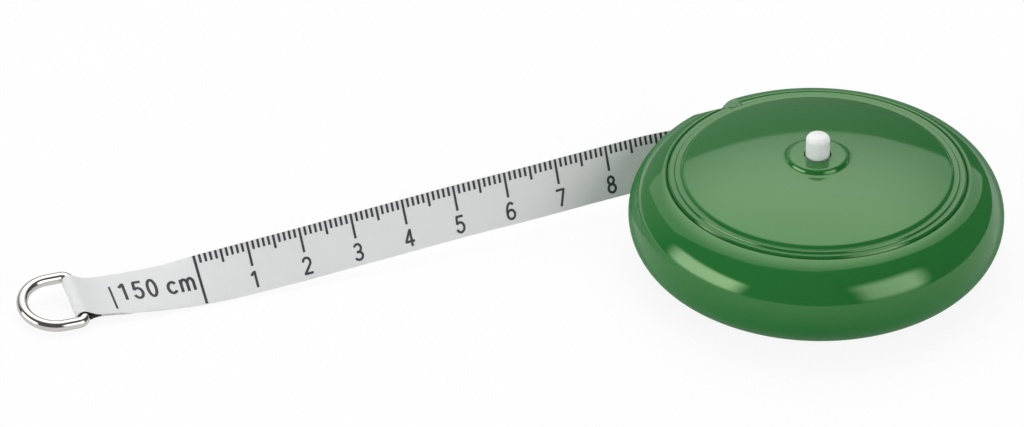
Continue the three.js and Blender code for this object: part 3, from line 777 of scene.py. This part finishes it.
def tapeCup(length):
    # the tape is slightly hollow across, more in some stretches than in others, and flat in the hem
    hem = lengthAt(routeSet["stations"][-1][0] - tapeSet["cupEnd"])
    wave = np.sin(length / tapeSet["cupWave"] + tapeSet["cupPhase"])
    wave = tapeSet["cupMean"] + tapeSet["cupSwing"] * wave
    grow = smoothStep((length - tapeSet["cupFrom"]) / tapeSet["cupRise"])
    return tapeSet["cup"] * wave * grow * smoothStep((hem - length) / tapeSet["cupFall"])


def onTape(length, v, lift):
    # the point at a length along the tape, v across it and lift above its middle
    centre, across, face = (
        joined(*[np.interp(length, line[3], column) for column in part.T]) for part in line[:3])
    hollow = tapeCup(length) * (2 * v / tapeSet["width"]) ** 2
    return centre + v[..., None] * across + (lift + hollow)[..., None] * face


def tapePiece():
    # the ribbon's rounded flat section carried along the line, its two ends closed to a line
    half, thick = tapeSet["width"] / 2, tapeSet["thickness"] / 2
    v = np.linspace(-1, 1, tapeSet["across"])
    soft = np.ones(len(v))
    soft[[0, -1]] = tapeSet["edgeThin"]
    sectionV = np.concatenate([v, v[::-1]]) * half
    sectionH = np.concatenate([soft, -soft[::-1]]) * thick
    length = line[3][:, None]
    closing = np.ones(len(line[3]))
    closing[[0, -1]] = 0
    short, long = tapeSet["wanderWaves"]
    edge = tapeSet["wander"] * np.sin(length / short) * np.sin(length / long + 1)
    sideV = sectionV[None] + edge * np.abs(sectionV[None]) / half
    lift = sectionH[None] * closing[:, None]
    points = onTape(length + 0 * sideV, sideV, lift)
    uv = stripLay(line[3] / line[3][-1], len(sectionV))
    faces = gridFaces(len(line[3]), len(sectionV), False, True)
    return meshPiece("tape_ribbon", points, faces, uv, sharpDeg=tapeSet["sharpDeg"])


tape = tapePiece()
weaveSet["length"] = float(line[3][-1])
weaveSet["loop"] = [float(line[3][tapeSet["samples"] + row] / line[3][-1]) for row in tapeSet["loopRows"]]
clothFinish = finish("tape_woven_cloth", cloth)
dress(tape, finish("tape_end_cloth", hemCloth), None, ["tape_strip", "tape_hem"])
print("tape:", len(tape.data.polygons), "faces,", round(weaveSet["length"], 1), "mm out of the reel")


# print on the tape: lines every millimetre, numbers every centimetre, the tape's length before zero
printSet = dict(
    line=0.46, small=1.65, five=2.55, ten=4.65, edgeGap=0.06, numbers=9, digitGap=0.9, digitTall=3.3,
    digitWide=1.9, digitStroke=0.46, word="150 cm", wordTall=4.2, wordWide=2.05, wordStroke=0.56,
    signGap=0.55, wordAt=8.15, wordLow=-1.85, zeroLine=0.5, shortAt=16.5, shortLow=-3.9, shortHigh=1.9,
    shortLine=0.4, strokeEnd=0.25, sharpest=0.6, bowDeg=14,
)


def bow(middleX, middleY, wide, tall, fromDeg, toDeg):
    # points of an ellipse's arc, five and one more for every bowDeg
    angle = np.radians(np.linspace(fromDeg, toDeg, 5 + int(abs(toDeg - fromDeg) / printSet["bowDeg"])))
    return list(zip(middleX + wide * np.cos(angle), middleY + tall * np.sin(angle)))


# strokes of each sign in a box one wide and one tall
six = [bow(0.5, 0.31, 0.37, 0.25, 0, 360), [(0.13, 0.31)] + bow(0.55, 0.45, 0.42, 0.50, 180, 55)]
signSet = {
    "0": [bow(0.5, 0.5, 0.36, 0.44, 0, 360)],
    "1": [[(0.2, 0.77), (0.5, 0.93)], [(0.56, 0.95), (0.56, 0.05)]],
    "2": [bow(0.5, 0.70, 0.36, 0.25, 165, -40) + [(0.17, 0.08)], [(0.12, 0.06), (0.9, 0.06)]],
    "3": [bow(0.47, 0.72, 0.33, 0.22, 150, -90) + [(0.36, 0.5)],
          [(0.36, 0.5)] + bow(0.47, 0.28, 0.38, 0.22, 90, -150)],
    "4": [[(0.66, 0.05), (0.66, 0.95)], [(0.62, 0.92), (0.12, 0.34)], [(0.08, 0.30), (0.92, 0.30)]],
    "5": [[(0.84, 0.94), (0.24, 0.94)], [(0.25, 0.92), (0.19, 0.55)],
          bow(0.47, 0.33, 0.38, 0.28, 132, -155)],
    "6": six,
    "7": [[(0.12, 0.94), (0.9, 0.94)], [(0.86, 0.92), (0.40, 0.05)]],
    "8": [bow(0.5, 0.73, 0.30, 0.21, 0, 360), bow(0.5, 0.28, 0.37, 0.23, 0, 360)],
    "9": [[(1 - x, 1 - y) for x, y in stroke] for stroke in six],
    "c": [bow(0.5, 0.34, 0.38, 0.28, 45, 315)],
    "m": [[(0.1, 0.05), (0.1, 0.62)]] + [
        bow(x + 0.28, 0.4, 0.28, 0.22, 180, 0) + [(x + 0.56, 0.05)] for x in (0.1, 0.66)],
    " ": [],
}
signWide = {" ": 0.25, "c": 0.95, "m": 1.3}


def ribbon(path, wide):
    # a line of even width: each point goes aside both ways, square to the mean of its two headings
    legs = unit(np.diff(path, axis=0))
    closed = np.allclose(path[0], path[-1])
    if not closed:
        end = wide * printSet["strokeEnd"]
        path = np.vstack([path[:1] - legs[:1] * end, path[1:-1], path[-1:] + legs[-1:] * end])
    before = np.vstack([legs[-1:] if closed else legs[:1], legs])
    mean = unit(before + np.vstack([legs, legs[:1] if closed else legs[-1:]]))
    stretch = wide / 2 / np.maximum((mean * before).sum(1), printSet["sharpest"])
    aside = joined(-mean[:, 1], mean[:, 0]) * stretch[:, None]
    points = np.stack([path + aside, path - aside], 1).reshape(-1, 2)
    cell = np.array([[0, 1, 3], [0, 3, 2]])
    return points, (cell[None] + 2 * np.arange(len(legs))[:, None, None]).reshape(-1, 3)


def signs(text, wide, tall, gap, stroke):
    # a text laid flat in strokes, its middle and its baseline at 0
    start, parts = 0.0, []
    for sign in text:
        for path in signSet[sign]:
            parts.append(ribbon(np.array(path) * [wide, tall] + [start, 0], stroke))
        start += signWide.get(sign, 1.0) * wide + gap
    return [(points - [(start - gap) / 2, 0], corners) for points, corners in parts]


def bars(at, low, high, wide):
    # upright bars at lengths along, from low to high across, cut in three so that they follow the hollow
    at, low, high = np.broadcast_arrays(*np.atleast_1d(at, low, high))
    share = np.linspace(0, 1, 4)
    v = low[:, None] + (high - low)[:, None] * share
    along = at[:, None] + 0 * v
    points = np.stack([joined(along - wide / 2, v), joined(along + wide / 2, v)], 2).reshape(-1, 2)
    cell = np.array([[0, 3, 1], [0, 2, 3]])
    strip = np.concatenate([cell, cell + 2, cell + 4])
    return points, (strip[None] + 8 * np.arange(len(at))[:, None, None]).reshape(-1, 3)


def printPiece():
    # bars and signs laid out flat as (along, across), then put on the tape's face
    zero = lengthAt(tapeSet["zeroOut"])
    top = tapeSet["width"] / 2 - printSet["edgeGap"]
    marks = np.arange(1, int(tapeSet["markTo"]) + 1)
    reach = np.where(marks % 5 == 0, printSet["five"], printSet["small"])
    reach = np.where(marks % 10 == 0, printSet["ten"], reach)
    parts = [bars(zero - marks, top - reach, top, printSet["line"])]
    parts.append(bars(zero, -top, top, printSet["zeroLine"]))
    short = zero + printSet["shortAt"]
    parts.append(bars(short, printSet["shortLow"], printSet["shortHigh"], printSet["shortLine"]))
    low = top - printSet["ten"] - printSet["digitGap"] - printSet["digitTall"]
    texts = [(str(mark), -10 * mark, low, "digit") for mark in range(1, printSet["numbers"] + 1)]
    texts.append((printSet["word"], printSet["wordAt"], printSet["wordLow"], "word"))
    for text, at, low, size in texts:
        wide, tall, stroke = (printSet[size + part] for part in ("Wide", "Tall", "Stroke"))
        for points, corners in signs(text, wide, tall, printSet["signGap"], stroke):
            parts.append((joined(zero + at - points[:, 0], low + points[:, 1]), corners))
    counts = np.cumsum([0] + [len(points) for points, _ in parts])
    flat = np.concatenate([points for points, _ in parts])
    faces = np.concatenate([corners + count for (_, corners), count in zip(parts, counts)])
    legs = flat[faces[:, 1:]] - flat[faces[:, :1]]
    turned = legs[:, 0, 0] * legs[:, 1, 1] > legs[:, 0, 1] * legs[:, 1, 0]
    faces = np.where(turned[:, None], faces[:, ::-1], faces)  # every face looks out of the tape
    lift = np.full(len(flat), tapeSet["thickness"] / 2 + tapeSet["inkLift"])
    return meshPiece("tape_print", onTape(flat[:, 0], flat[:, 1], lift), faces, outward=False)


ink = printPiece()
dress(ink, inkFinish)
for piece in (tape, ink):
    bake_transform(piece)
print("print:", len(ink.data.polygons), "faces")


# winding on the drum
windingSet = dict(inner=21.5, outer=24.28, turns=8, steps=72, thickness=0.3, width=9.8, low=4.1)


def spiral(wound):
    # angles and radii of a flat spiral: the radius grows evenly with the angle
    turn = np.linspace(0, 2 * np.pi * wound["turns"], wound["turns"] * wound["steps"] + 1)
    return turn, np.linspace(wound["inner"], wound["outer"], len(turn))


def windingPiece():
    # a ribbon on a spiral that starts and ends at the back, its two ends closed to a line
    turn, radius = spiral(windingSet)
    turn = turn + np.pi / 2
    half = np.full(len(turn), windingSet["thickness"] / 2)
    half[[0, -1]] = 0
    corner = np.array([[-1, 0], [1, 0], [1, 1], [-1, 1]])
    reach = radius[:, None] + corner[None, :, 0] * half[:, None]
    height = windingSet["low"] + corner[None, :, 1] * windingSet["width"]
    points = aroundAxis(reach, turn[:, None], height)
    uv = stripLay(np.linspace(0, 1, len(turn)), 4)
    return meshPiece("wound_tape", points, gridFaces(len(turn), 4, False, True), uv)


winding = windingPiece()
dress(winding, clothFinish, "reel", ["tape_winding"])
solidFinishes = {
    "reel_drum": reelFinish, "drum_cover": reelFinish, "brake_ring": rubberFinish,
    "tape_anchor_pin": steelFinish, "arbor": steelFinish, "thrust_washer": steelFinish,
}
for node, material in solidFinishes.items():
    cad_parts[node].material_slots[0].material = material
print("winding and inner pieces dressed")


# springs: the flat spiral that winds the tape in, and the coil that lifts the reel against the brake
leafSet = dict(
    inner=4.4, outer=18.2, turns=7, steps=40, thickness=0.3, low=7.8, high=13.6, tongue=(-2.1, 3.0),
    tongueRows=8,
)
coilSet = dict(
    radius=4.85, wire=0.25, low=2.15, high=5.25, turns=3, steps=48, sides=12, blendFrom=0.6, blendTo=6.8,
)


def leafPiece(name, path):
    # a flat strip on edge along a path in plan: half its thickness goes to each side, and its ends
    # close to a line
    heading = unit(np.gradient(path, axis=0))
    half = np.full((len(path), 1), leafSet["thickness"] / 2)
    half[[0, -1]] = 0
    aside = joined(-heading[:, 1], heading[:, 0]) * half
    plan = np.stack([path - aside, path + aside, path + aside, path - aside], 1)
    low, high = leafSet["low"], leafSet["high"]
    x, y = plan[..., 0], plan[..., 1]
    points = joined(x, y, np.array([low, low, high, high]) + 0 * x)
    return meshPiece(name, points, gridFaces(len(path), 4, False, True))


def coilPiece():
    # a round wire carried up a helix, its two ends closed to a point
    rows = coilSet["turns"] * coilSet["steps"] + 1
    turn = np.linspace(0, 2 * np.pi * coilSet["turns"], rows)[:, None]
    wire = np.full(turn.shape, coilSet["wire"])
    wire[[0, -1]] = 0
    around = np.linspace(0, 2 * np.pi, coilSet["sides"], endpoint=False)[None]
    radius = coilSet["radius"] + wire * np.cos(around)
    height = np.linspace(coilSet["low"], coilSet["high"], rows)[:, None] + wire * np.sin(around)
    points = aroundAxis(radius, turn, height)
    return meshPiece("brake_coil", points, gridFaces(rows, coilSet["sides"], False, True))


turn, radius = spiral(leafSet)
windSpring = leafPiece("spring_spiral", aroundAxis(radius, turn, 0)[:, :2])
dress(windSpring, steelFinish, "reel", ["main_spring"])
along = np.linspace(*leafSet["tongue"], leafSet["tongueRows"])
tongue = leafPiece("spring_tongue", joined(along, 0 * along))
dress(tongue, steelFinish, "case", ["main_spring"])
coil = coilPiece()
dress(coil, steelFinish, None, ["brake_spring"])
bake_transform(coil)
print("springs made")


# floor, world and lamps, in metres; a lobe of the world's light is its azimuth, its elevation, how
# close to that way it starts and is whole, and its strength
stageSet = dict(
    floorSize=12.0, floorDrop=0.05 * mm, floorTone=0.92, floorGlow=0.89, floorShare=0.12, lampAim=0.017,
    softboxCore=0.2, softboxRim=0.8, worldRoom=0.10,
    worldLobes=((-28, 15, 0.65, 0.97, 0.28), (180, 35, 0.1, 0.8, 0.03)),
)
lampSet = dict(
    softbox=dict(azimuth=-2, elevation=60, distance=3.0, radiance=2.35, edge=0.95, outline=[
        (-36.5, 13.8), (-28.8, 20.0), (-22.0, 25.5), (-14.0, 26.3), (-9.3, 26.6), (-4.3, 26.1),
        (2.3, 25.0), (7.9, 24.5), (13.0, 24.0), (17.5, 23.3), (23.1, 21.5), (28.0, 15.0), (31.3, 10.4),
        (40.2, 19.4), (51.4, 33.5), (64.6, 50.3), (89.8, 71.3), (180.0, 80.3), (-103.0, 68.2),
        (-80.0, 55.2), (-65.4, 34.9), (-45.0, 22.9)]),
    left=dict(
        azimuth=-109, elevation=14, distance=3.2, radiance=5.9, halfWide=30, halfHigh=17,
        core=0.5, far=0.65),
    right=dict(
        azimuth=135, elevation=22, distance=3.2, radiance=4.2, halfWide=26, halfHigh=26,
        core=0.4, far=0.55),
)


def stageFloor():
    # pale floor: seen directly or in gloss it is near white, and it keeps a part of the shadow
    half, low = stageSet["floorSize"] / 2, -stageSet["floorDrop"]
    corners = np.array([[-half, -half, low], [half, -half, low], [half, half, low], [-half, half, low]])
    floor = meshPiece("floor", corners / mm, np.array([[0, 1, 2, 3]]), outward=False)
    material, wire = newMaterial("floor_pale", bare=True)
    kinds = ("Is Camera Ray", "Is Glossy Ray", "Is Transmission Ray")
    seen, mirrored, through = (wire.node("ShaderNodeLightPath", output=kind) for kind in kinds)
    looked = wire.maths("MINIMUM", seen + mirrored + through, 1.0)
    lit = 1 - stageSet["floorShare"]
    plain = wire.node("ShaderNodeBsdfDiffuse", None, {"Color": rgb(*[stageSet["floorTone"]] * 3)})
    glow = wire.glow(stageSet["floorGlow"] / lit)
    pale = wire.node("ShaderNodeMixShader", None, {0: lit, 1: plain, 2: glow})
    wire.node("ShaderNodeMixShader", None, {0: looked, 1: plain, 2: pale}).show()
    floor.data.materials.append(material)


def towards(azimuth, elevation):
    # unit vectors from the case, azimuth counted from straight back and to the right
    azimuth, elevation = (np.radians(np.array(angle))[..., None] for angle in (azimuth, elevation))
    level = backwards * np.cos(azimuth) + sideways * np.sin(azimuth)
    return level * np.cos(elevation) + np.array([0, 0, 1.0]) * np.sin(elevation)


def lampCard(name, lamp):
    # a flat card square to its aim: a softbox cut to its outline, or an oblong with soft edges
    aim = towards(lamp["azimuth"], lamp["elevation"])
    beside = unit(np.cross(aim, [0, 0, 1.0]))
    rise = np.cross(beside, aim)
    material, wire = newMaterial("lamp_" + name, bare=True)
    spot = wire.lay()
    if "outline" in lamp:
        ways = towards(*zip(*lamp["outline"]))
        ways = ways / (ways @ aim)[:, None]
        lay = joined(ways @ beside, ways @ rise)
        away = wire.node("ShaderNodeVectorMath", {"operation": "LENGTH"}, {0: spot}, "Value")
        core, rim = stageSet["softboxCore"], stageSet["softboxRim"]
        level = away.spread(core, rim, lamp["radiance"], lamp["edge"])
    else:
        half = np.tan(np.radians([lamp["halfWide"], lamp["halfHigh"]]))
        lay = np.array([[-1, -1], [1, -1], [1, 1], [-1, 1]]) * half
        ways = aim + lay[:, :1] * beside + lay[:, 1:] * rise
        level = lamp["radiance"]
        for axis, reach in zip("XY", half):
            away = wire.maths("ABSOLUTE", spot.part(axis))
            level = level * away.spread(reach * lamp["core"], reach, 1.0, 0.0)
        level = level * spot.part("X").spread(-half[0], half[0], 1.0, lamp["far"], "LINEAR")
    wire.glow(level).show()
    points = (ways * lamp["distance"] + [0, 0, stageSet["lampAim"]]) / mm
    card = meshPiece("lamp_" + name, points, np.arange(len(points))[None], lay, outward=False)
    card.data.materials.append(material)
    card.visible_camera = False


def stageLight():
    # a dim room, lighter behind the case and behind the camera
    world = bpy.data.worlds.new("studio")
    world.use_nodes = True
    tree = world.node_tree
    wire = Wire(tree)
    way = wire.node("ShaderNodeTexCoord", output="Generated")
    level = stageSet["worldRoom"]
    for azimuth, elevation, far, close, more in stageSet["worldLobes"]:
        aim = towards(azimuth, elevation)
        both = {0: way, 1: tuple(aim)}
        near = wire.node("ShaderNodeVectorMath", {"operation": "DOT_PRODUCT"}, both, "Value")
        level = level + near.spread(far, close, 0.0, more)
    tree.nodes["Background"].inputs["Color"].default_value = rgb(1, 1, 1)
    tree.links.new(level.socket, tree.nodes["Background"].inputs["Strength"])
    bpy.context.scene.world = world
    for name, lamp in lampSet.items():
        lampCard(name, lamp)


stageFloor()
stageLight()
bpy.context.scene.view_settings.view_transform = "Standard"
print("stage and lamps set")
